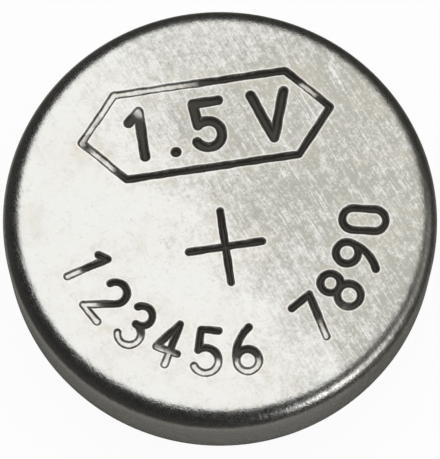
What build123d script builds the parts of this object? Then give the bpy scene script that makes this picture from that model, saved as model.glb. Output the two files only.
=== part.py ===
"""Alkaline button cell of the 6.8 x 2.6 mm standard size, as seven separate pieces. Millimetres.

The cell rests on its negative contact: the origin is the centre of that face, and +Z runs up the
cell's axis to the positive contact, the closed end of the can. The stamped marks read along +X.
"""

from build123d import *
import math
import os

# ---------------------------------------------------------------- driving dimensions, in mm
cell_diameter = 6.8
cell_height = 2.6

# Can: a drawn cup, its closed end up and its rim curled in round the gasket
can_wall = 0.18
can_end = 0.22
can_corner = 0.40  # outside radius from the closed end to the side
can_inner_corner = 0.20
crimp_radius = 0.90  # outside radius of the curled rim
crimp_angle = 70.0  # degrees that the rim is curled
crimp_base = 0.30  # lowest point that a full quarter turn of the curl would reach
lip_round = 0.04  # rounded edges of the rim's cut end

# Negative cap: a pressed cup with a neck, a shoulder and a skirt folded back on itself
cap_sheet = 0.12
cap_height = 1.34
cap_face_bend = 0.30  # outside radii of the bends, contact face first
cap_neck_bend = 0.08
cap_shoulder_bend = 0.27
cap_shoulder_height = 0.75
cap_shoulder_width = 0.36  # from the neck out to the skirt
fold_gap = 0.02  # left between the two layers of the folded skirt
fold_length = 0.17  # of the straight outer layer

# Gasket: a moulded ring that wraps the cap's skirt
gasket_wall = 0.27  # room for the ring between the can and the cap
gasket_foot = 0.15
gasket_upstand = 0.15  # thickness of the low wall inside the skirt
gasket_upstand_height = 0.20
gasket_lip_height = 0.42  # where the ring ends on the cap's neck

# Discs between the two electrodes
film_thickness = 0.05
absorbent_thickness = 0.18

fit_gap = 0.005  # clearance wherever one piece sits inside another

# Stamped marks, sizes on the centre line of the strokes
mark_depth = 0.06
fine_stroke = 0.12
bold_stroke = 0.16
border_width = 3.94
border_flat = 2.72
border_height = 1.39
border_centre = 1.43
plus_size = 1.15
plus_centre = -0.57
value_width = 0.52
value_height = 0.74
value_places = (-1.02, 0.02, 1.02)
point_place = -0.53
number_width = 0.35
number_height = 0.68
number_circle = 2.24  # radius through the middle of the curved row
number_start = -165.0  # degrees round the face, anticlockwise from +X
number_step = 15.3

# ---------------------------------------------------------------- what follows from them
can_radius = cell_diameter / 2
can_inside = can_radius - can_wall
can_end_inside = cell_height - can_end
crimp_centre = (can_radius - crimp_radius, crimp_base + crimp_radius)

cap_rim = can_inside - gasket_wall
cap_skirt = cap_rim - cap_sheet - fold_gap
cap_skirt_inside = cap_skirt - cap_sheet
cap_neck = cap_skirt - cap_shoulder_width
fold_centre = (cap_skirt + fold_gap / 2, cap_height - cap_sheet - fold_gap / 2)
fold_edge = fold_centre[1] - fold_length

groove_floor = cap_height + fit_gap
gasket_top = groove_floor + gasket_foot
upstand_inside = cap_skirt_inside - fit_gap - gasket_upstand
upstand_end = groove_floor - gasket_upstand_height

film_top = gasket_top + film_thickness
absorbent_bottom = gasket_top - absorbent_thickness


def on_crimp(radius):
    """The point where the curl ends, on an arc of this radius round the curl's centre."""
    turn = math.radians(-crimp_angle)
    return (
        crimp_centre[0] + radius * math.cos(turn),
        crimp_centre[1] + radius * math.sin(turn),
    )


def cap_cup(depth, top):
    """The cap's contour from the axis to its skirt, this deep below its outer surface."""
    return FilletPolyline(
        (0, depth),
        (cap_neck - depth, depth),
        (cap_neck - depth, cap_shoulder_height + depth),
        (cap_skirt - depth, cap_shoulder_height + depth),
        (cap_skirt - depth, top),
        radius=[cap_face_bend - depth, cap_neck_bend + depth, cap_shoulder_bend - depth],
    )


def cap_fold(depth):
    """The fold at the skirt's end and its outer layer, this deep below the same surface."""
    radius = fold_gap / 2 + depth
    outer_layer = fold_centre[0] + radius
    CenterArc(fold_centre, radius, 0, 180)
    Line((outer_layer, fold_centre[1]), (outer_layer, fold_edge))


# ---------------------------------------------------------------- characters, as round-ended strokes
# Each draws its centre lines in a box that reaches a to either side and b up and down.
def draw_0(a, b):
    CenterArc((0, b - a), a, 0, 180)
    Line((-a, b - a), (-a, a - b))
    CenterArc((0, a - b), a, 180, 180)
    Line((a, a - b), (a, b - a))


def draw_1(a, b):
    Line((0, -b), (0, b))
    Line((0, b), (-0.7 * a, b - 0.6 * a))


def draw_2(a, b):
    bowl = CenterArc((0, b - a), a, 170, -200)
    Line(bowl @ 1, (-a, -b))
    Line((-a, -b), (a, -b))


def draw_3(a, b):
    small = 0.46 * b
    CenterArc((0, b - small), small, 150, -240)
    CenterArc((0, -small), b - small, 90, -240)


def draw_4(a, b):
    Line((0.3 * a, b), (-a, -0.35 * b))
    Line((-a, -0.35 * b), (a, -0.35 * b))
    Line((0.3 * a, b), (0.3 * a, -b))


def draw_5(a, b):
    bowl = CenterArc((-0.05 * a, -0.42 * b), 0.58 * b, 130, -280)
    Line(bowl @ 0, (-0.7 * a, b))
    Line((-0.7 * a, b), (0.85 * a, b))


def draw_6(a, b):
    CenterArc((0, a - b), a, 0, 180)
    CenterArc((0, a - b), a, 180, 180)
    TangentArc((-a, a - b), (0.6 * a, b), tangent=(0, 1))


def draw_7(a, b):
    Line((-a, b), (a, b))
    Line((a, b), (-0.35 * a, -b))


def draw_8(a, b):
    small = 0.46 * b
    for centre, radius in ((b - small, small), (-small, b - small)):
        CenterArc((0, centre), radius, 0, 180)
        CenterArc((0, centre), radius, 180, 180)


def draw_9(a, b):
    CenterArc((0, b - a), a, 0, 180)
    CenterArc((0, b - a), a, 180, 180)
    TangentArc((a, b - a), (-0.6 * a, -b), tangent=(0, -1))


def draw_volt(a, b):
    Line((-a, b), (0, -b))
    Line((0, -b), (a, b))


def draw_border(a, b):
    corner = border_flat / 2
    Line((-corner, b), (corner, b))
    Line((corner, b), (a, 0))
    Line((a, 0), (corner, -b))
    Line((corner, -b), (-corner, -b))
    Line((-corner, -b), (-a, 0))
    Line((-a, 0), (-corner, b))


def draw_plus(a, b):
    Line((-a, 0), (a, 0))
    Line((0, -b), (0, b))


def strokes(draw, width, height, stroke):
    """A character in round-ended strokes, centred on the origin."""
    with BuildSketch() as character:
        with BuildLine() as centre_lines:
            draw(width / 2, height / 2)
        for edge in centre_lines.edges():
            SlotArc(edge, stroke)
    return character.sketch


def on_face(x, y, turn=0.0):
    """A place on the positive face, turned by an angle in degrees."""
    return Location((x, y, 0), (0, 0, turn))


def curved_row():
    """The numbers of the curved row and their places, with a gap after the sixth."""
    first = (draw_1, draw_2, draw_3, draw_4, draw_5, draw_6)
    second = (draw_7, draw_8, draw_9, draw_0)
    for place, draw in (*enumerate(first), *enumerate(second, len(first) + 1)):
        angle = number_start + number_step * place
        x = number_circle * math.cos(math.radians(angle))
        y = number_circle * math.sin(math.radians(angle))
        yield draw, on_face(x, y, angle + 90)


# ---------------------------------------------------------------- can, the positive terminal
with BuildPart() as positive_can:
    with BuildSketch(Plane.XZ) as section:
        with BuildLine():
            Line((0, cell_height), (can_radius - can_corner, cell_height))
            CenterArc((can_radius - can_corner, cell_height - can_corner), can_corner, 0, 90)
            Line((can_radius, cell_height - can_corner), (can_radius, crimp_centre[1]))
            CenterArc(crimp_centre, crimp_radius, 0, -crimp_angle)
            Line(on_crimp(crimp_radius), on_crimp(crimp_radius - can_wall))
            CenterArc(crimp_centre, crimp_radius - can_wall, 0, -crimp_angle)
            Line((can_inside, crimp_centre[1]), (can_inside, can_end_inside - can_inner_corner))
            CenterArc(
                (can_inside - can_inner_corner, can_end_inside - can_inner_corner),
                can_inner_corner,
                0,
                90,
            )
            Line((can_inside - can_inner_corner, can_end_inside), (0, can_end_inside))
            Line((0, can_end_inside), (0, cell_height))
        make_face()
        cut_end = section.vertices().sort_by(Axis.Y)[:2]
        fillet(cut_end, radius=lip_round)
    revolve(axis=Axis.Z)

    # The stamped marks: a border round the nominal voltage, the polarity sign and a curved row
    with BuildSketch(Plane.XY.offset(cell_height)):
        with Locations(on_face(0, border_centre)):
            add(strokes(draw_border, border_width, border_height, fine_stroke))
        for place, draw in zip(value_places, (draw_1, draw_5, draw_volt)):
            with Locations(on_face(place, border_centre)):
                add(strokes(draw, value_width, value_height, bold_stroke))
        with Locations(on_face(point_place, border_centre - value_height / 2)):
            Circle(bold_stroke / 2)
        with Locations(on_face(0, plus_centre)):
            add(strokes(draw_plus, plus_size, plus_size, fine_stroke))
        for draw, place in curved_row():
            with Locations(place):
                add(strokes(draw, number_width, number_height, fine_stroke))
    extrude(amount=-mark_depth, mode=Mode.SUBTRACT)
positive_can.part.label = "positive_can"

# ---------------------------------------------------------------- cap, the negative terminal
with BuildPart() as negative_cap:
    with BuildSketch(Plane.XZ):
        with BuildLine():
            for depth in (0, cap_sheet):
                cap_cup(depth, fold_centre[1])
                cap_fold(depth)
            Line((0, 0), (0, cap_sheet))
            Line((cap_rim - cap_sheet, fold_edge), (cap_rim, fold_edge))
        make_face()
    revolve(axis=Axis.Z)
negative_cap.part.label = "negative_cap"

# ---------------------------------------------------------------- gasket
with BuildPart() as gasket:
    with BuildSketch(Plane.XZ):
        with BuildLine():
            outside = can_inside - fit_gap
            curl = crimp_radius - can_wall - fit_gap
            neck = cap_neck + fit_gap
            skirt = cap_skirt + fit_gap
            rim = cap_rim + fit_gap
            Line((upstand_inside, gasket_top), (outside, gasket_top))
            Line((outside, gasket_top), (outside, crimp_centre[1]))
            CenterArc(crimp_centre, curl, 0, -crimp_angle)
            TangentArc(on_crimp(curl), (neck, gasket_lip_height), tangent=(-1, -0.6))
            FilletPolyline(
                (neck, gasket_lip_height),
                (neck, cap_shoulder_height - fit_gap),
                (skirt, cap_shoulder_height - fit_gap),
                (skirt, fold_edge - fit_gap),
                radius=[cap_neck_bend - fit_gap, cap_shoulder_bend + fit_gap],
            )
            Polyline(
                (skirt, fold_edge - fit_gap),
                (rim, fold_edge - fit_gap),
                (rim, groove_floor),
                (cap_skirt_inside - fit_gap, groove_floor),
                (cap_skirt_inside - fit_gap, upstand_end),
                (upstand_inside, upstand_end),
                (upstand_inside, gasket_top),
            )
        make_face()
    revolve(axis=Axis.Z)
gasket.part.label = "gasket"

# ---------------------------------------------------------------- cathode pellet
with BuildPart() as cathode_pellet:
    with BuildSketch(Plane.XY.offset(film_top)):
        Circle(can_inside - fit_gap)
    extrude(amount=can_end_inside - film_top)
    fillet(cathode_pellet.edges().group_by(Axis.Z)[-1], radius=can_inner_corner + fit_gap)
cathode_pellet.part.label = "cathode_pellet"

# ---------------------------------------------------------------- barrier film
with BuildPart() as barrier_film:
    with BuildSketch(Plane.XY.offset(gasket_top)):
        Circle(can_inside - fit_gap)
    extrude(amount=film_thickness)
barrier_film.part.label = "barrier_film"

# ---------------------------------------------------------------- absorbent disc
with BuildPart() as absorbent_disc:
    with BuildSketch(Plane.XY.offset(absorbent_bottom)):
        Circle(upstand_inside - fit_gap)
    extrude(amount=absorbent_thickness)
absorbent_disc.part.label = "absorbent_disc"

# ---------------------------------------------------------------- zinc gel, the anode
with BuildPart() as anode_gel:
    with BuildSketch(Plane.XZ):
        with BuildLine():
            inset = cap_sheet + fit_gap
            cap_cup(inset, upstand_end - fit_gap)
            Polyline(
                (cap_skirt - inset, upstand_end - fit_gap),
                (upstand_inside - fit_gap, upstand_end - fit_gap),
                (upstand_inside - fit_gap, absorbent_bottom),
                (0, absorbent_bottom),
                (0, inset),
            )
        make_face()
    revolve(axis=Axis.Z)
anode_gel.part.label = "anode_gel"

# ---------------------------------------------------------------- one STEP file for each piece
os.makedirs("parts", exist_ok=True)
for piece in (
    positive_can,
    gasket,
    negative_cap,
    cathode_pellet,
    barrier_film,
    absorbent_disc,
    anode_gel,
):
    export_step(piece.part, f"parts/{piece.part.label}.step")
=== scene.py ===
# %% [markdown]
# # An alkaline button cell, in Blender
# This lesson finishes a small round battery. Its solid model arrives as a fixed frame: seven
# pieces in metres, standing on the negative contact, with the cell's axis along Z. The can, the cap
# and the gasket are turned again here as fine meshes, because the frame's own meshes are coarse on
# something this small. The four pieces sealed inside keep the frame's meshes and get a finish each.

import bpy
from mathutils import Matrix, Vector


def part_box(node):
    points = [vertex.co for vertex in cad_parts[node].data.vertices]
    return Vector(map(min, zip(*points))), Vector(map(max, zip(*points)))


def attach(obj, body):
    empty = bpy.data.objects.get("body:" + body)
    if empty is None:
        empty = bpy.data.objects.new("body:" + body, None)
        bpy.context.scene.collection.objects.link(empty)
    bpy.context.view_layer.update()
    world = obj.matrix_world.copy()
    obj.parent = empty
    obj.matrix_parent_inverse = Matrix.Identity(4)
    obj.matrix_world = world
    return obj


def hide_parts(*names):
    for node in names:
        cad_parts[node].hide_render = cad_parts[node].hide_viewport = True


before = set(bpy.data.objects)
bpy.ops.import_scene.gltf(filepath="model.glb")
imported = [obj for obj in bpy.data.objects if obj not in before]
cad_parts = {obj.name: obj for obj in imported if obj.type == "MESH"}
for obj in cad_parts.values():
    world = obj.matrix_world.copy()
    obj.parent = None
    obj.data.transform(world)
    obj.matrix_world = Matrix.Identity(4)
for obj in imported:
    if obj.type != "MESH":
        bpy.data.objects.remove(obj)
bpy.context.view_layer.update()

# %% [markdown]
# ## Sizes
# Everything that the frame knows is read from it: the boxes of the pieces give the radii and
# heights. Bends and small clearances can't be read from a box, so they are named here, in the same
# values that the solid model uses. One name, `mm`, turns millimetres into Blender's metres.

# %% Read the sizes of the shell
import math

import bpy
import numpy as np
from mathutils import Matrix, Vector

mm = 0.001
fit_gap = 0.005 * mm

nodes = ("positive_can", "negative_cap", "gasket", "cathode_pellet", "absorbent_disc")
highest_corners = [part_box(node)[1] for node in nodes]
can_high, cap_high, gasket_high, pellet_high, absorbent_high = highest_corners

can_radius = max(can_high[0], can_high[1])
cell_height = can_high[2]
can_inside = max(pellet_high[0], pellet_high[1]) + fit_gap
can_wall = can_radius - can_inside
can_end_inside = pellet_high[2]
cap_rim = max(cap_high[0], cap_high[1])
cap_height = cap_high[2]
shell_sizes = (can_radius, cell_height, can_wall)
print("can radius, height, wall in mm:", [round(size / mm, 3) for size in shell_sizes])

# %% Name the bends and thicknesses
can_corner = 0.40 * mm
can_inner_corner = 0.20 * mm
crimp_radius = 0.90 * mm
crimp_angle = 70.0
crimp_base = 0.30 * mm
crimp_centre = (can_radius - crimp_radius, crimp_base + crimp_radius)
lip_round = 0.04 * mm

cap_sheet = 0.12 * mm
cap_face_bend = 0.30 * mm
cap_neck_bend = 0.08 * mm
cap_shoulder_bend = 0.27 * mm
cap_shoulder_height = 0.75 * mm
cap_shoulder_width = 0.36 * mm
fold_gap = 0.02 * mm
fold_length = 0.17 * mm
cap_skirt = cap_rim - cap_sheet - fold_gap
cap_neck = cap_skirt - cap_shoulder_width
fold_centre = (cap_skirt + fold_gap / 2, cap_height - cap_sheet - fold_gap / 2)
fold_edge = fold_centre[1] - fold_length

gasket_top = gasket_high[2]
groove_floor = cap_height + fit_gap
gasket_lip_height = 0.42 * mm
upstand_inside = max(absorbent_high[0], absorbent_high[1]) + fit_gap
upstand_end = groove_floor - 0.20 * mm

# %% [markdown]
# ## Turning a piece from its section
# The can, the cap and the gasket are all round, as deep-drawn and moulded parts are. Such a piece
# could be a cylinder with loops scaled in and out, but its wall would be hard to keep even. Here the
# section is drawn as on a lathe template: one vertex is extruded along the outline, and the outline
# is spun round Z. The seam and the two poles are then merged, and the normals turned outwards.

# %% Helpers for section outlines
TURN_STEPS = 192  # sides of every turned piece
MERGE_DISTANCE = 1e-7  # metres; far below the finest spacing on this small object


def arc(centre, radius, start, end, steps=8):
    """Points of an arc in the section plane, from one angle to another, in degrees."""
    angles = np.radians(np.linspace(start, end, steps + 1))
    return [(centre[0] + radius * math.cos(t), centre[1] + radius * math.sin(t)) for t in angles]


def straight(start, end, steps):
    """Evenly spaced points on a straight run, both ends included."""
    start, end = np.array(start), np.array(end)
    return [tuple(start + (end - start) * k / steps) for k in range(steps + 1)]


def rounded(corners, radii, steps=6):
    """An outline through the corners, with each inner corner rounded to its radius."""
    points = [corners[0]]
    for before, corner, after, radius in zip(corners, corners[1:], corners[2:], radii):
        into = (Vector(before) - Vector(corner)).normalized()
        away = (Vector(after) - Vector(corner)).normalized()
        half = into.angle(away) / 2
        centre = Vector(corner) + (into + away).normalized() * radius / math.sin(half)
        first = Vector(corner) + into * radius / math.tan(half) - centre
        last = Vector(corner) + away * radius / math.tan(half) - centre
        start = math.degrees(math.atan2(first.y, first.x))
        sweep = (math.degrees(math.atan2(last.y, last.x)) - start + 180) % 360 - 180
        points += arc(centre, radius, start, start + sweep, steps)
    return points + [corners[-1]]


# %% The lathe
def select_only(piece):
    """Deselects everything else, because an operator acts on all that is selected."""
    bpy.ops.object.select_all(action="DESELECT")
    piece.select_set(True)
    bpy.context.view_layer.objects.active = piece


def turned(name, outline):
    """A piece turned from a section outline, given as (radius, height) points."""
    bpy.ops.object.select_all(action="DESELECT")
    bpy.ops.mesh.primitive_plane_add(size=mm, location=(outline[0][0], 0, outline[0][1]))
    piece = bpy.context.object
    piece.name = piece.data.name = name
    bpy.ops.object.transform_apply(location=True, rotation=False, scale=False)
    bpy.ops.object.mode_set(mode="EDIT")
    bpy.ops.mesh.select_mode(type="VERT")
    bpy.ops.mesh.select_all(action="SELECT")
    bpy.ops.mesh.merge(type="CENTER")
    for here, there in zip(outline, outline[1:]):
        step = (there[0] - here[0], 0, there[1] - here[1])
        bpy.ops.mesh.extrude_region_move(TRANSFORM_OT_translate={"value": step})
    bpy.ops.mesh.select_all(action="SELECT")
    bpy.ops.mesh.spin(steps=TURN_STEPS, angle=2 * math.pi, center=(0, 0, 0), axis=(0, 0, 1))
    bpy.ops.mesh.select_all(action="SELECT")
    bpy.ops.mesh.remove_doubles(threshold=MERGE_DISTANCE)
    bpy.ops.mesh.normals_make_consistent(inside=False)
    bpy.ops.object.mode_set(mode="OBJECT")
    bpy.ops.object.shade_smooth()
    print(name, "faces:", len(piece.data.polygons))
    return piece


# %% [markdown]
# ## The can
# The real can is a drawn steel cup. Its closed end is flat with a small corner radius, and its open
# rim is curled in over the gasket. The outline starts on the axis, runs out along the end, down the
# side, round the curl to its cut edge, and back up the inside. The end's run is divided finely,
# because the stamped marks will be pressed into it.

# %% Turn the can
END_RINGS = 50

lip_outer = arc(crimp_centre, crimp_radius, 0, -crimp_angle, 14)
lip_inner = arc(crimp_centre, crimp_radius - can_wall, -crimp_angle, 0, 10)
lip_corners = [lip_outer[-2], lip_outer[-1], lip_inner[0], lip_inner[1]]
can_flat = can_radius - can_corner
can_outline = (
    straight((0, cell_height), (can_flat, cell_height), END_RINGS)
    + arc((can_flat, cell_height - can_corner), can_corner, 90, 0, 12)[1:]
    + straight((can_radius, cell_height - can_corner), (can_radius, crimp_centre[1]), 4)[1:-1]
    + lip_outer[:-2]
    + rounded(lip_corners, [lip_round, lip_round], 4)
    + lip_inner[2:]
    + arc(
        (can_inside - can_inner_corner, can_end_inside - can_inner_corner), can_inner_corner, 0, 90, 4
    )
    + [(can_inside / 2, can_end_inside), (0, can_end_inside)]
)
can = turned("can_shell", can_outline)

# %% [markdown]
# ## The stamped marks
# The marks are pressed into the closed end with a hard punch: a long six-sided border round the
# nominal voltage, a plus sign for the polarity, and a curved row of plain numbers. They could be cut
# with a Boolean, but a cut has sharp edges, and pressed metal flows over the punch's edge in a soft
# shoulder. So each mark is a set of centre lines, and the metal sinks by its distance from them.

# %% Characters as centre lines
def bend(centre, radius, start, sweep):
    """An arc of a centre line, as short straight runs of about ten degrees."""
    return arc(centre, radius, start, start + sweep, max(2, round(abs(sweep) / 10)))


def upright_arc(start, end, sweep_sign):
    """An arc that leaves its start straight up or down and ends at the other point."""
    across, along = end[0] - start[0], end[1] - start[1]
    radius = (across**2 + along**2) / (2 * across)
    centre = (start[0] + radius, start[1])
    first = 180.0 if radius > 0 else 0.0
    last = math.degrees(math.atan2(end[1] - centre[1], end[0] - centre[0]))
    sweep = (last - first) % (sweep_sign * 360)
    return bend(centre, abs(radius), first, sweep)


# Each character fills a box that reaches a to either side of its middle, and b up and down.
def draw_0(a, b):
    return [bend((0, b - a), a, 0, 180) + bend((0, a - b), a, 180, 180) + [(a, b - a)]]


def draw_1(a, b):
    return [[(0, -b), (0, b), (-0.7 * a, b - 0.6 * a)]]


def draw_2(a, b):
    return [bend((0, b - a), a, 170, -200) + [(-a, -b), (a, -b)]]


def draw_3(a, b):
    small = 0.46 * b
    return [bend((0, b - small), small, 150, -240), bend((0, -small), b - small, 90, -240)]


def draw_4(a, b):
    return [[(0.3 * a, b), (-a, -0.35 * b), (a, -0.35 * b)], [(0.3 * a, b), (0.3 * a, -b)]]


def draw_5(a, b):
    bowl = bend((-0.05 * a, -0.42 * b), 0.58 * b, 130, -280)
    return [bowl, [bowl[0], (-0.7 * a, b), (0.85 * a, b)]]


def draw_6(a, b):
    return [bend((0, a - b), a, 0, 360), upright_arc((-a, a - b), (0.6 * a, b), -1)]


def draw_7(a, b):
    return [[(-a, b), (a, b), (-0.35 * a, -b)]]


def draw_8(a, b):
    small = 0.46 * b
    return [bend((0, b - small), small, 0, 360), bend((0, -small), b - small, 0, 360)]


def draw_9(a, b):
    return [bend((0, b - a), a, 0, 360), upright_arc((a, b - a), (-0.6 * a, -b), -1)]


def draw_volt(a, b):
    return [[(-a, b), (0, -b), (a, b)]]


def draw_point(a, b):
    return [[(-a, 0), (a, 0)]]


def draw_plus(a, b):
    return [[(-a, 0), (a, 0)], [(0, -b), (0, b)]]


def draw_border(a, b):
    corner = BORDER_FLAT / 2
    return [[(-corner, b), (corner, b), (a, 0), (corner, -b), (-corner, -b), (-a, 0), (-corner, b)]]


# %% Lay the marks out on the end
FINE_STROKE, BOLD_STROKE = 0.12 * mm, 0.16 * mm
BORDER_WIDTH, BORDER_FLAT, BORDER_HEIGHT = 3.94 * mm, 2.72 * mm, 1.39 * mm
BORDER_CENTRE = 1.43 * mm
PLUS_SIZE, PLUS_CENTRE = 1.15 * mm, -0.57 * mm
VALUE_WIDTH, VALUE_HEIGHT = 0.52 * mm, 0.74 * mm
VALUE_PLACES, POINT_PLACE = (-1.02 * mm, 0.02 * mm, 1.02 * mm), -0.53 * mm
NUMBER_WIDTH, NUMBER_HEIGHT = 0.35 * mm, 0.68 * mm
NUMBER_CIRCLE, NUMBER_START, NUMBER_STEP = 2.24 * mm, -165.0, 15.3

marks = []  # rows of x, y, x, y, half a stroke's width: one straight piece of a centre line each


def stamp(lines, x, y, turn, stroke):
    """Adds a character's centre lines at a place on the end, turned by an angle in degrees."""
    placing = Matrix.Translation((x, y, 0)) @ Matrix.Rotation(math.radians(turn), 4, "Z")
    for line in lines:
        placed = [placing @ Vector((point[0], point[1], 0)) for point in line]
        for start, end in zip(placed, placed[1:]):
            marks.append((start.x, start.y, end.x, end.y, stroke / 2))


stamp(draw_border(BORDER_WIDTH / 2, BORDER_HEIGHT / 2), 0, BORDER_CENTRE, 0, FINE_STROKE)
for place, draw in zip(VALUE_PLACES, (draw_1, draw_5, draw_volt)):
    stamp(draw(VALUE_WIDTH / 2, VALUE_HEIGHT / 2), place, BORDER_CENTRE, 0, BOLD_STROKE)
stamp(draw_point(0.01 * mm, 0), POINT_PLACE, BORDER_CENTRE - VALUE_HEIGHT / 2, 0, BOLD_STROKE)
stamp(draw_plus(PLUS_SIZE / 2, PLUS_SIZE / 2), 0, PLUS_CENTRE, 0, FINE_STROKE)
first_group = (draw_1, draw_2, draw_3, draw_4, draw_5, draw_6)
second_group = (draw_7, draw_8, draw_9, draw_0)
for place, draw in (*enumerate(first_group), *enumerate(second_group, len(first_group) + 1)):
    angle = NUMBER_START + NUMBER_STEP * place
    x = NUMBER_CIRCLE * math.cos(math.radians(angle))
    y = NUMBER_CIRCLE * math.sin(math.radians(angle))
    stamp(draw(NUMBER_WIDTH / 2, NUMBER_HEIGHT / 2), x, y, angle + 90, FINE_STROKE)
marks = np.array(marks)
print("centre line pieces:", len(marks))

# %% [markdown]
# ## Pressing the marks in
# The end's rings are too coarse for strokes a tenth of a millimetre wide, and a grid fine enough all
# over would be heavy. So only the faces under a stroke are subdivided. Each vertex then gets a weight
# for how far the punch pushes it, and a Displace modifier moves it down by that share of the deepest
# press. A second, very small one raises the metal that flows up beside a stroke.

# %% Measure how far a point lies inside the strokes
def inside_strokes(points):
    """For each (x, y) point, how far it lies inside the nearest stroke's edge, negative outside."""
    start, run, half = marks[:, :2], marks[:, 2:4] - marks[:, :2], marks[:, 4]
    length = np.maximum((run**2).sum(axis=1), 1e-18)
    best = np.full(len(points), -np.inf)
    for first in range(0, len(points), 4000):
        block = points[first : first + 4000, None, :] - start[None, :, :]
        share = np.clip((block * run).sum(axis=2) / length, 0, 1)
        away = np.linalg.norm(block - share[:, :, None] * run, axis=2)
        best[first : first + 4000] = (half - away).max(axis=1)
    return best


# %% Subdivide the faces under the strokes
STROKE_MARGIN = 0.06 * mm
STROKE_CUTS = 4


def end_faces_near_strokes(mesh):
    """True for each face of the closed end that a stroke's edge comes near."""
    centres = np.empty(len(mesh.polygons) * 3)
    mesh.polygons.foreach_get("center", centres)
    centres = centres.reshape(-1, 3)
    on_end = centres[:, 2] > cell_height - MERGE_DISTANCE
    near = np.zeros(len(centres), dtype=bool)
    near[on_end] = inside_strokes(centres[on_end, :2]) > -STROKE_MARGIN
    return near


select_only(can)
bpy.ops.object.mode_set(mode="EDIT")
bpy.ops.mesh.select_mode(type="FACE")
bpy.ops.mesh.select_all(action="DESELECT")
bpy.ops.object.mode_set(mode="OBJECT")
can.data.polygons.foreach_set("select", end_faces_near_strokes(can.data))
bpy.ops.object.mode_set(mode="EDIT")
bpy.ops.mesh.subdivide(number_cuts=STROKE_CUTS)
bpy.ops.object.mode_set(mode="OBJECT")
print("can faces with fine marks:", len(can.data.polygons))

# %% Weigh each vertex
DEEPEST_PRESS = 0.10 * mm
SHOULDER_RISE = 0.004 * mm
WALL_SLOPE = math.tan(math.radians(62))
EDGE_WANDER = 0.005 * mm


def soft_step(low, high, value):
    """0 below low, 1 above high, and a smooth rise between them."""
    share = np.clip((value - low) / (high - low), 0, 1)
    return share * share * (3 - 2 * share)


SHALLOW_SPOTS = ((-0.7, 2.5, 1.0), (-1.81, 1.05, 0.42), (1.62, 1.73, 0.24))  # x, y and reach in mm


def press_depth(points):
    """How deep the punch went: full over most of the end, shallow at its low rim and in spots."""
    x, y = points[:, 0] / mm, points[:, 1] / mm
    shallow = soft_step(2.08, 2.5, np.hypot(x, y)) * soft_step(1.9, 0.2, x + 0.4 * y)
    for spot_x, spot_y, reach in SHALLOW_SPOTS:
        away = ((x - spot_x) ** 2 + (y - spot_y) ** 2) / reach**2
        shallow = np.maximum(shallow, np.exp(-(away**2)))
    uneven = 0.08 * np.sin(3.1 * x + 0.7) * np.sin(2.7 * y - 1.3 * x + 2.0)
    return DEEPEST_PRESS * (0.9 - 0.62 * shallow + uneven)


def worn_edge(points):
    """How far a stroke's edge wanders from its straight line."""
    x, y = points[:, 0] / mm, points[:, 1] / mm
    long_waves = np.sin(9.1 * x + 5.3 * y) * np.sin(7.7 * y - 4.1 * x + 1.0)
    short_waves = np.sin(23 * x - 9 * y + 2.0) * np.sin(19 * y + 6 * x)
    return EDGE_WANDER * (long_waves + 0.5 * short_waves)


def soft_minimum(first, second, softness):
    """The smaller of two depths, with the corner between them rounded."""
    blend = np.maximum(softness - np.abs(first - second), 0) / softness
    return np.minimum(first, second) - blend * blend * softness / 4


def weigh(piece, name, weights):
    """Stores a share from 0 to 1 for each vertex as a vertex group."""
    group = piece.vertex_groups.new(name=name)
    for index in np.flatnonzero(weights > 1e-4):
        group.add([int(index)], float(weights[index]), "REPLACE")


def press(piece, group, distance):
    """Moves the vertices up by their share of a distance and keeps the result."""
    select_only(piece)
    modifier = piece.modifiers.new(group, "DISPLACE")
    modifier.direction = "Z"
    modifier.mid_level = 0
    modifier.strength = distance
    modifier.vertex_group = group
    bpy.ops.object.modifier_apply(modifier=modifier.name)


corners = np.empty(len(can.data.vertices) * 3)
can.data.vertices.foreach_get("co", corners)
corners = corners.reshape(-1, 3)
on_end = np.flatnonzero((corners[:, 2] > cell_height - MERGE_DISTANCE))
depth_in = np.full(len(corners), -1.0)
depth_in[on_end] = inside_strokes(corners[on_end, :2]) + worn_edge(corners[on_end])
wall = np.maximum(depth_in, 0) * WALL_SLOPE
sunk = soft_minimum(press_depth(corners), wall, 0.014 * mm)
sunk = np.where(depth_in > 0, np.maximum(sunk, 0), 0)
raised = np.exp(-(((depth_in + 0.012 * mm) / (0.012 * mm)) ** 2)) * (depth_in > -0.05 * mm)
weigh(can, "pressed", sunk / DEEPEST_PRESS)
weigh(can, "shoulder", raised)
press(can, "pressed", -DEEPEST_PRESS)
press(can, "shoulder", SHOULDER_RISE)
print("deepest mark in mm:", round(float(sunk.max()) / mm, 3))

# %% Keep the depth for the finish
# Dirt and painted shade: the walls of the marks and their deeper parts are darkened in the finish.
wall_dirt_and_shade = 0.8 * np.exp(-(((depth_in - 0.016 * mm) / (0.021 * mm)) ** 2))
fields = {
    "mark_dirt_and_shade": np.maximum(soft_step(0.02 * mm, 0.065 * mm, sunk), wall_dirt_and_shade),
    # A painted highlight on the raised shoulders beside the marks.
    "shoulder_highlight": raised,
    "grime": np.exp(np.minimum(depth_in, 0) / (0.12 * mm)),
}
for name, share in fields.items():
    attribute = can.data.attributes.new(name, "FLOAT", "POINT")
    attribute.data.foreach_set("value", share.astype(np.float32))

# %% [markdown]
# ## The cap
# The negative terminal is a pressed cup. From the flat contact face the sheet bends up a short neck,
# steps out over a shoulder, and runs up a skirt that is folded back on itself. Most of it is hidden
# by the gasket, but it is drawn whole, as the sheet really runs. The outline goes out along the outer
# surface, round the fold and back along the inner surface.

# %% Turn the cap
def cap_contour(depth):
    """The cup from the axis to the top of its skirt, this deep below its outer surface."""
    skirt = cap_skirt - depth
    return rounded(
        [
            (0, depth),
            (cap_neck - depth, depth),
            (cap_neck - depth, cap_shoulder_height + depth),
            (skirt, cap_shoulder_height + depth),
            (skirt, fold_centre[1]),
        ],
        [cap_face_bend - depth, cap_neck_bend + depth, cap_shoulder_bend - depth],
        8,
    )


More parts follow.
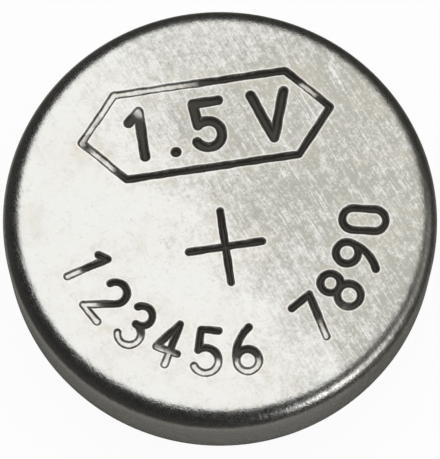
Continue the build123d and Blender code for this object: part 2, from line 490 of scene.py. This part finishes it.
def cap_fold(depth):
    """The half turn of the fold and its straight outer layer, this deep below the same surface."""
    radius = fold_gap / 2 + depth
    return arc(fold_centre, radius, 180, 0, 10) + [(fold_centre[0] + radius, fold_edge)]


cap_outer = cap_contour(0) + cap_fold(0)[1:]
cap_inner = cap_contour(cap_sheet) + cap_fold(cap_sheet)[1:]
cap = turned("cap_shell", cap_outer + cap_inner[::-1])

# %% [markdown]
# ## The gasket
# The gasket is a moulded nylon ring with a deep groove that the cap's skirt drops into. Crimping
# squeezes its outer wall between the curled rim and the cap, and a little of it swells out as the
# thin ring that shows on the underside. Its outline is closed, so the turned ring has no poles.

# %% Turn the gasket
outside = can_inside - fit_gap
curl = arc(crimp_centre, crimp_radius - can_wall - fit_gap, 0, -crimp_angle, 12)
neck_wall = cap_neck + fit_gap
skirt_wall = cap_skirt + fit_gap
rim_wall = cap_rim + fit_gap
inner_skirt = cap_skirt - cap_sheet - fit_gap
swell_start, swell_end = curl[-1], (neck_wall, gasket_lip_height)
swell_middle = ((swell_start[0] + swell_end[0]) / 2, gasket_lip_height - 0.012 * mm)
swell = [
    tuple(
        (1 - t) ** 2 * np.array(swell_start)
        + 2 * t * (1 - t) * np.array(swell_middle)
        + t**2 * np.array(swell_end)
    )
    for t in np.linspace(0, 1, 9)
]
gasket_outline = (
    [(upstand_inside, gasket_top), (outside, gasket_top)]
    + curl
    + swell[1:]
    + rounded(
        [
            (neck_wall, gasket_lip_height),
            (neck_wall, cap_shoulder_height - fit_gap),
            (skirt_wall, cap_shoulder_height - fit_gap),
            (skirt_wall, fold_edge - fit_gap),
        ],
        [cap_neck_bend - fit_gap, cap_shoulder_bend + fit_gap],
    )[1:]
    + [
        (rim_wall, fold_edge - fit_gap),
        (rim_wall, groove_floor),
        (inner_skirt, groove_floor),
        (inner_skirt, upstand_end),
        (upstand_inside, upstand_end),
        (upstand_inside, gasket_top),
    ]
)
gasket = turned("gasket_ring", gasket_outline)

# %% [markdown]
# ## Writing a finish as a formula
# A finish is a sum of small patterns: broad clouds, fine grain, hairlines. Nodes can be laid out by
# hand, but a formula is shorter to read and to change. The class below wraps one output of a node, so
# that `1 - mask * 0.3` adds the Math nodes it needs. Every other node comes from its `node` method.

# %% One wire of a node tree
class Wire:
    """One output of a shader node, with arithmetic that adds Math nodes."""

    def __init__(self, tree, socket):
        self.tree = tree
        self.socket = socket

    def node(self, kind, settings=None, inputs=None, output=0):
        """Adds a node of any kind: its settings first, then the values or wires of its inputs."""
        added = self.tree.nodes.new(kind)
        for name, value in (settings or {}).items():
            setattr(added, name, value)
        for name, value in (inputs or {}).items():
            if isinstance(value, Wire):
                self.tree.links.new(value.socket, added.inputs[name])
            else:
                added.inputs[name].default_value = value
        return Wire(self.tree, added.outputs[output]) if added.outputs else None

    def math(self, operation, first, second=0.0):
        return self.node("ShaderNodeMath", {"operation": operation}, {0: first, 1: second})

    def __add__(self, other):
        return self.math("ADD", self, other)

    def __sub__(self, other):
        return self.math("SUBTRACT", self, other)

    def __rsub__(self, other):
        return self.math("SUBTRACT", other, self)

    def __mul__(self, other):
        return self.math("MULTIPLY", self, other)

    def __truediv__(self, other):
        return self.math("DIVIDE", self, other)

    __radd__ = __add__
    __rmul__ = __mul__


# %% Patterns that several finishes share
def empty_tree(owner):
    """Empties the node tree of a material or a world, and gives a wire to start its nodes from."""
    owner.use_nodes = True
    owner.node_tree.nodes.clear()
    return Wire(owner.node_tree, None)


def new_finish(name):
    """A material with an empty tree, and the wire that gives places on the piece in millimetres."""
    material = bpy.data.materials.new(name)
    place = empty_tree(material).node("ShaderNodeTexCoord", output="Object")
    return material, place.node(
        "ShaderNodeVectorMath", {"operation": "SCALE"}, {0: place, "Scale": 1 / mm}
    )


def noise(place, scale, detail=2.0, roughness=0.5, distortion=0.0):
    """Cloudy noise from 0 to 1, with so many clouds to the millimetre."""
    inputs = {"Vector": place, "Scale": scale, "Detail": detail}
    inputs |= {"Roughness": roughness, "Distortion": distortion}
    return place.node("ShaderNodeTexNoise", {"noise_dimensions": "3D"}, inputs)


def between(value, low, high):
    """0 where a value is below low, 1 where it is above high, and a smooth rise between."""
    return value.node(
        "ShaderNodeMapRange",
        {"interpolation_type": "SMOOTHSTEP"},
        {"Value": value, "From Min": low, "From Max": high, "To Min": 0.0, "To Max": 1.0},
    )


def tint(share, first, second):
    """A colour between two others, which may themselves be wires."""
    first, second = (end if isinstance(end, Wire) else (*end, 1.0) for end in (first, second))
    settings = {"data_type": "RGBA", "clamp_factor": True}
    return share.node("ShaderNodeMix", settings, {0: share, 6: first, 7: second}, 2)


def relief(height, size):
    """A bump from a height between 0 and 1, where size is the height of 1 in metres."""
    return height.node("ShaderNodeBump", {}, {"Height": height, "Distance": size, "Strength": 1.0})


def surface(material, wire, **inputs):
    """Ends a finish in one plain surface shader."""
    named = {name.replace("_", " "): value for name, value in inputs.items()}
    shader = wire.node("ShaderNodeBsdfPrincipled", {}, named)
    wire.node("ShaderNodeOutputMaterial", {}, {"Surface": shader})
    return material


def stretched(place, turn, across, along):
    """Places turned in the XY plane and scaled, so that a pattern runs long in one direction."""
    rotation = (0, 0, math.radians(turn))
    turned_place = place.node("ShaderNodeMapping", {}, {"Vector": place, "Rotation": rotation})
    return place.node(
        "ShaderNodeVectorMath", {"operation": "MULTIPLY"}, {0: turned_place, 1: (along, across, 1.0)}
    )


# %% [markdown]
# ## Nickel plating
# The can and the cap are nickel-plated steel. Nickel is a warm, light grey metal, and rolling,
# drawing and tumbling leave it satin rather than bright. Handling dulls one side of the piece more
# than the other, and there the brush marks and hairlines show most, all running much the same way.
# Mottling, a fine grain and faint brown stains lie over the whole piece. Down in the marks the
# colour goes dark, partly dirt and partly painted shade, darkest on the marks' walls and where they
# are deepest. The raised shoulders beside the marks are made lighter, a painted highlight.

# %% The nickel finish
NICKEL = (0.80, 0.80, 0.775)
NICKEL_DULL = (0.44, 0.435, 0.39)
NICKEL_STAIN = (0.62, 0.56, 0.46)
# A painted highlight for the raised shoulders beside the marks.
NICKEL_SHOULDER_HIGHLIGHT = (0.93, 0.93, 0.91)
# The dark colour down in the marks: partly dirt, partly painted shade.
MARK_DIRT_AND_SHADE_COLOUR = (0.048, 0.043, 0.035)
NICKEL_RELIEF = 0.0022 * mm
FILLET_STARTS = (2.95, 3.2)  # radii in mm between which the grain turns coarser


def brushed(place, turn, across, along, low, high):
    """Fine straight brush marks in one direction, as a share from 0 to 1."""
    lines = noise(stretched(place, turn, across, along), 1.0, 3.0, 0.6)
    return between(lines, low, high)


def along_line(place, turn):
    """How far a point lies along a horizontal line at this angle, in millimetres."""
    way = (math.cos(math.radians(turn)), math.sin(math.radians(turn)), 0)
    settings = {"operation": "DOT_PRODUCT"}
    return place.node("ShaderNodeVectorMath", settings, {0: place, 1: way}, "Value")


def stored(place, name):
    """A value that was stored on the can's vertices."""
    return place.node("ShaderNodeAttribute", {"attribute_name": name}, output="Fac")


def off_axis(place):
    """How far a point lies from the cell's axis, in millimetres."""
    settings = {"operation": "MULTIPLY"}
    flat = place.node("ShaderNodeVectorMath", settings, {0: place, 1: (1, 1, 0)})
    return flat.node("ShaderNodeVectorMath", {"operation": "LENGTH"}, {0: flat}, "Value")


def nickel(name, brush_turn, worn_way, has_marks):
    """Satin nickel plate, brushed at one angle and dulled towards another, both in degrees."""
    material, place = new_finish(name)
    clouds = noise(place, 1.1, 4.0, 0.6)
    mottle = between(noise(place, 6.0, 3.0, 0.65, 0.4), 0.36, 0.66)
    grain = noise(place, 19.0, 3.0, 0.75)
    far = between(along_line(place, worn_way + 85), 1.3, 2.7)
    worn = between(along_line(place, worn_way) + clouds * 2.4 - 1.2, -1.2, 1.05) * (1 - far * 0.4)
    brush = brushed(place, brush_turn, 26.0, 2.6, 0.36, 0.70)
    crossing = brushed(place, brush_turn - 12, 34.0, 2.0, 0.40, 0.72)
    hairs = brushed(place, brush_turn + 4, 42.0, 0.5, 0.60, 0.74)
    bright_hairs = brushed(place, brush_turn - 5, 38.0, 0.8, 0.56, 0.70)
    specks = between(noise(place, 9.0, 2.0, 0.6, 0.8), 0.68, 0.80)
    rim = between(off_axis(place), *FILLET_STARTS)

    dull = worn * 0.57 + mottle * (worn * 0.24 + 0.18) + (brush + crossing) * (worn * 0.34 + 0.05)
    dull = dull + (grain - 0.5) * (worn * 1.3 + 1.2) + clouds * 0.16 - 0.27
    dull = dull - bright_hairs * (worn * 0.5 + 0.1)
    stain = between(noise(place, 1.3, 5.0, 0.65, 0.6), 0.50, 0.78)
    colour = tint(dull, NICKEL, NICKEL_DULL)
    colour = tint((specks + hairs * (worn * 0.6 + 0.2)) * 0.45, colour, NICKEL_DULL)
    roughness = clouds * 0.06 + mottle * 0.06 + worn * 0.05 + grain * 0.12 + rim * 0.04 + 0.10
    if has_marks:
        grimy = stored(place, "grime")
        stain = stain * 0.4 + grimy * mottle * 0.45
        # Painted highlight: the raised shoulders beside the marks are made lighter.
        painted_highlight = stored(place, "shoulder_highlight")
        colour = tint(stain, colour, NICKEL_STAIN)
        colour = tint(painted_highlight * 0.7, colour, NICKEL_SHOULDER_HIGHLIGHT)
        # Down in the marks the colour goes dark: partly dirt, partly painted shade.
        depth = stored(place, "mark_dirt_and_shade")
        dirt_and_painted_shade = between(depth + mottle * 0.2, 0.25, 0.95)
        colour = tint(dirt_and_painted_shade, colour, MARK_DIRT_AND_SHADE_COLOUR)
        roughness = roughness + dirt_and_painted_shade * 0.35
        metal = 1 - dirt_and_painted_shade * 0.85
    else:
        metal = 1.0
        colour = tint(stain * 0.4, colour, NICKEL_STAIN)

    height = mottle * 0.7 + grain * (rim * 1.1 + 0.5) - brush * 0.25 - hairs * 0.3
    return surface(
        material,
        place,
        Base_Color=colour,
        Metallic=metal,
        Roughness=roughness,
        Normal=relief(height, NICKEL_RELIEF),
    )


can_nickel = nickel("nickel_can", 73.0, 26.0, True)
cap_nickel = nickel("nickel_cap", 20.0, 120.0, False)
print("nodes in the can's finish:", len(bpy.data.materials["nickel_can"].node_tree.nodes))

# %% [markdown]
# ## Nylon, powder, film, paper and gel
# The gasket is natural nylon: a warm off-white that takes a little light into itself, with a sealing
# coat of bitumen that browns it in patches. The pieces inside are never seen on a whole cell, but a
# cut-away shows them, so each gets the finish of the real thing.

# %% The gasket's nylon
def nylon(name):
    material, place = new_finish(name)
    clouds = noise(place, 2.5, 3.0)
    grain = noise(place, 30.0, 3.0, 0.6)
    sealant = between(noise(place, 1.6, 4.0, 0.6), 0.50, 0.72)
    colour = tint(clouds, (0.52, 0.49, 0.42), (0.62, 0.59, 0.51))
    colour = tint(sealant * 0.6, colour, (0.20, 0.16, 0.11))
    return surface(
        material,
        place,
        Base_Color=colour,
        Roughness=grain * 0.2 + 0.38,
        Normal=relief(grain, 0.0012 * mm),
    )


# %% The cathode's pressed powder
def pressed_powder(name):
    material, place = new_finish(name)
    grains = noise(place, 26.0, 5.0, 0.75)
    flakes = between(noise(place, 60.0, 1.0), 0.62, 0.70)
    colour = tint(grains, (0.012, 0.012, 0.013), (0.045, 0.043, 0.042))
    colour = tint(flakes, colour, (0.16, 0.16, 0.17))
    return surface(
        material,
        place,
        Base_Color=colour,
        Metallic=flakes * 0.6,
        Roughness=0.75 - flakes * 0.35,
        Normal=relief(grains, 0.004 * mm),
    )


# %% The barrier film
def cellulose_film(name):
    material, place = new_finish(name)
    ripple = noise(stretched(place, 35, 5.0, 1.2), 1.0, 2.0)
    colour = tint(ripple, (0.72, 0.75, 0.66), (0.82, 0.84, 0.77))
    return surface(
        material,
        place,
        Base_Color=colour,
        Roughness=ripple * 0.12 + 0.16,
        Normal=relief(ripple, 0.002 * mm),
    )


# %% The absorbent disc's fibres
def fibre_paper(name):
    material, place = new_finish(name)
    one_way = noise(stretched(place, 25, 24.0, 2.0), 1.0, 3.0, 0.7)
    other_way = noise(stretched(place, -50, 22.0, 1.6), 1.0, 3.0, 0.7)
    fibres = one_way * 0.5 + other_way * 0.5
    colour = tint(between(fibres, 0.35, 0.65), (0.70, 0.68, 0.60), (0.90, 0.89, 0.85))
    return surface(
        material,
        place,
        Base_Color=colour,
        Roughness=fibres * 0.15 + 0.78,
        Normal=relief(fibres, 0.006 * mm),
    )


# %% The anode's zinc gel
def zinc_gel(name):
    material, place = new_finish(name)
    grains = place.node(
        "ShaderNodeTexVoronoi", {"feature": "F1"}, {"Vector": place, "Scale": 9.0}, "Distance"
    )
    shade = noise(place, 7.0, 2.0)
    metal = 1 - between(grains, 0.35, 0.6)
    colour = tint(shade, (0.30, 0.31, 0.33), (0.50, 0.51, 0.54))
    return surface(
        material,
        place,
        Base_Color=colour,
        Metallic=metal * 0.7,
        Roughness=shade * 0.2 + 0.25,
        Coat_Weight=metal * 0.3 + 0.4,
        Normal=relief(1 - grains, 0.012 * mm),
    )


# %% [markdown]
# ## Giving out the finishes
# A fine piece takes the place of its coarse node and rides on the frame's one body. The nodes that
# stay only get a new material.

# %% Finish the turned pieces
for piece, node, slot, finish in (
    (can, "positive_can", "can_plating", can_nickel),
    (cap, "negative_cap", "cap_plating", cap_nickel),
    (gasket, "gasket", "gasket_nylon", nylon("nylon")),
):
    piece.data.materials.append(finish)
    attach(piece, "root")
    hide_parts(node)
    print(node, "is shown as", piece.name)

# %% Finish the sealed pieces
for node, finish in (
    ("cathode_pellet", pressed_powder("pressed_powder")),
    ("barrier_film", cellulose_film("cellulose_film")),
    ("absorbent_disc", fibre_paper("fibre_paper")),
    ("anode_gel", zinc_gel("zinc_gel")),
):
    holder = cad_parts[node]
    if holder.material_slots:
        for material_slot in holder.material_slots:
            material_slot.material = finish
    else:
        holder.data.materials.append(finish)
    print(node, "keeps its mesh and gets", finish.name)

# %% [markdown]
# ## The studio
# A metal shows what stands round it, so the light is built as on a product studio's table: one
# large soft box overhead, tilted a little, dark flags all round below it, and a small strip low down
# with a weaker one beside it. They sit in one dome that only reflections see. The floor and the world
# are near white to the camera, and the floor keeps the cell's soft shadow. In reflections the floor
# is what lies round a product on its table: grey card close by, then dark cloth. Right under the
# cell it is painted dark in reflections, a painted contact shadow. From below it is see-through.

# %% The camera
AIM_HEIGHT = cell_height
AIM_BELOW_CENTRE = 0.277 * mm
CAMERA_AWAY = 50 * mm
CAMERA_ELEVATION = math.radians(74.5)
CAMERA_AZIMUTH = math.radians(-98.7)
FRAME_HIGH = 459
FOCAL_LENGTH_IN_FRAMES = 3217 / FRAME_HIGH

toward_camera = Vector(
    (
        math.cos(CAMERA_ELEVATION) * math.cos(CAMERA_AZIMUTH),
        math.cos(CAMERA_ELEVATION) * math.sin(CAMERA_AZIMUTH),
        math.sin(CAMERA_ELEVATION),
    )
)
camera_turn = toward_camera.to_track_quat("Z", "Y")
below_centre = camera_turn @ Vector((0, -AIM_BELOW_CENTRE, 0))
bpy.ops.object.camera_add(
    location=Vector((0, 0, AIM_HEIGHT)) + toward_camera * CAMERA_AWAY + below_centre,
    rotation=camera_turn.to_euler(),
)
camera = bpy.context.object
camera.name = "camera"
camera.data.sensor_width = 36
camera.data.lens = camera.data.sensor_width * FOCAL_LENGTH_IN_FRAMES
camera.data.clip_start = 1 * mm
camera.data.clip_end = 10
bpy.context.scene.camera = camera
print("camera lens in mm:", round(camera.data.lens, 1))

# %% The floor
SHEET_STARTS = (3.3, 3.8)  # millimetres from the axis: the contact shadow gives way to grey card
SHEET_ENDS = (5.3, 6.8)  # and the card to the dark cloth round it
# In reflections the floor under the cell takes the dark cloth colour as a painted contact shadow.
PAPER, CARD, SHADOW_AND_CLOTH = (0.88, 0.88, 0.87), (0.25, 0.243, 0.225), (0.045, 0.043, 0.04)
WHITE_SHARE = 0.94  # how much of the floor glows to the camera instead of being lit

bpy.ops.object.select_all(action="DESELECT")
bpy.ops.mesh.primitive_plane_add(size=4, location=(0, 0, 0))
floor = bpy.context.object
floor.name = "floor"
material = bpy.data.materials.new("floor_paper")
rays = empty_tree(material)
seen = rays.node("ShaderNodeLightPath", output="Is Camera Ray")
mirrored = rays.node("ShaderNodeLightPath", output="Is Glossy Ray")
spot = rays.node("ShaderNodeTexCoord", output="Object")
spot = spot.node("ShaderNodeVectorMath", {"operation": "LENGTH"}, {0: spot}, "Value") / mm
sheet = between(spot, *SHEET_STARTS) * (1 - between(spot, *SHEET_ENDS))
# Painted contact shadow under the cell, grey card round it, dark cloth beyond.
floor_in_reflections = tint(sheet, SHADOW_AND_CLOTH, CARD)
paper = seen.node("ShaderNodeBsdfDiffuse", {}, {"Color": tint(mirrored, PAPER, floor_in_reflections)})
glow = seen.node("ShaderNodeEmission", {}, {"Color": (1, 1, 1, 1), "Strength": 1.0})
backdrop = seen.node("ShaderNodeMixShader", {}, {0: seen * WHITE_SHARE, 1: paper, 2: glow})
from_below = rays.node("ShaderNodeNewGeometry", output="Backfacing")
clear = seen.node("ShaderNodeBsdfTransparent")
backdrop = seen.node("ShaderNodeMixShader", {}, {0: from_below, 1: backdrop, 2: clear})
seen.node("ShaderNodeOutputMaterial", {}, {"Surface": backdrop})
floor.data.materials.append(material)
print("floor nodes:", len(material.node_tree.nodes))

# %% The dome of soft box, flags and strip
DOME_RADIUS = 0.25
SOFT_BOX_AZIMUTH, SOFT_BOX_TILT = math.radians(61.3), math.radians(16)
SOFT_BOX_EDGE = (math.cos(math.radians(51)), math.cos(math.radians(45)))
STRIP_HEIGHTS = (-0.10, 0.0, 0.18, 0.32)  # sines of the elevation: starts, full, fades, ends
STRIP_TURNS = (-74, -64, -42, -26)  # degrees of azimuth: starts, full, fades, ends
SIDE_TURNS = (-40, -28, 4, 16)  # the same for the weaker strip beside it
FLAG_LIGHT, SOFT_BOX_LIGHT, STRIP_LIGHT, SIDE_LIGHT = 0.022, 1.08, 2.8, 0.6


def window(value, edges, unit=1.0):
    """1 between the two middle edges, 0 outside the outer two, and smooth slopes between."""
    starts, full, fades, ends = (edge * unit for edge in edges)
    return between(value, starts, full) * (1 - between(value, fades, ends))


bpy.ops.object.select_all(action="DESELECT")
bpy.ops.mesh.primitive_uv_sphere_add(
    segments=48, ring_count=24, radius=DOME_RADIUS, location=(0, 0, 0)
)
dome = bpy.context.object
dome.name = "reflection_dome"
for ray in ("camera", "diffuse", "transmission", "volume_scatter", "shadow"):
    setattr(dome, "visible_" + ray, False)
material = bpy.data.materials.new("reflection_dome")
direction = empty_tree(material).node("ShaderNodeTexCoord", output="Object")
direction = direction.node("ShaderNodeVectorMath", {"operation": "NORMALIZE"}, {0: direction})
across, along, height = (
    direction.node("ShaderNodeSeparateXYZ", {}, {0: direction}, axis) for axis in "XYZ"
)
soft_box_axis = (
    math.sin(SOFT_BOX_TILT) * math.cos(SOFT_BOX_AZIMUTH),
    math.sin(SOFT_BOX_TILT) * math.sin(SOFT_BOX_AZIMUTH),
    math.cos(SOFT_BOX_TILT),
)
facing = direction.node(
    "ShaderNodeVectorMath", {"operation": "DOT_PRODUCT"}, {0: direction, 1: soft_box_axis}, "Value"
)
soft_box = between(facing, *SOFT_BOX_EDGE)
azimuth = along.math("ARCTAN2", along, across)
low_down = window(height, STRIP_HEIGHTS)
strip = low_down * window(azimuth, STRIP_TURNS, math.radians(1))
side = low_down * window(azimuth, SIDE_TURNS, math.radians(1))
light = soft_box * SOFT_BOX_LIGHT + strip * STRIP_LIGHT + side * SIDE_LIGHT + FLAG_LIGHT
glow = direction.node("ShaderNodeEmission", {}, {"Color": (1, 0.995, 0.985, 1), "Strength": light})
direction.node("ShaderNodeOutputMaterial", {}, {"Surface": glow})
dome.data.materials.append(material)
print("dome radius in mm:", DOME_RADIUS / mm)

# %% The lamp and the world
LAMP_SIZE, LAMP_PLACE, LAMP_LEVEL = 0.12, (0.01, 0.02, 0.12), 1.6
bpy.ops.object.light_add(type="AREA", location=LAMP_PLACE)
lamp = bpy.context.object
lamp.name = "overhead_soft_box"
lamp.data.size = LAMP_SIZE
lamp.data.energy = math.pi * LAMP_SIZE**2 * LAMP_LEVEL
lamp.visible_glossy = False

world = bpy.data.worlds.new("white_room")
bpy.context.scene.world = world
rays = empty_tree(world)
seen = rays.node("ShaderNodeLightPath", output="Is Camera Ray")
mirrored = rays.node("ShaderNodeLightPath", output="Is Glossy Ray")
level = seen.math("MAXIMUM", seen, mirrored) * 0.5 + 0.5
sky = rays.node("ShaderNodeBackground", {}, {"Color": (1, 1, 1, 1), "Strength": level})
rays.node("ShaderNodeOutputWorld", {}, {"Surface": sky})
print("lamp energy in watts:", round(lamp.data.energy, 4))

# %% Show colours as they are written
bpy.context.scene.view_settings.view_transform = "Standard"
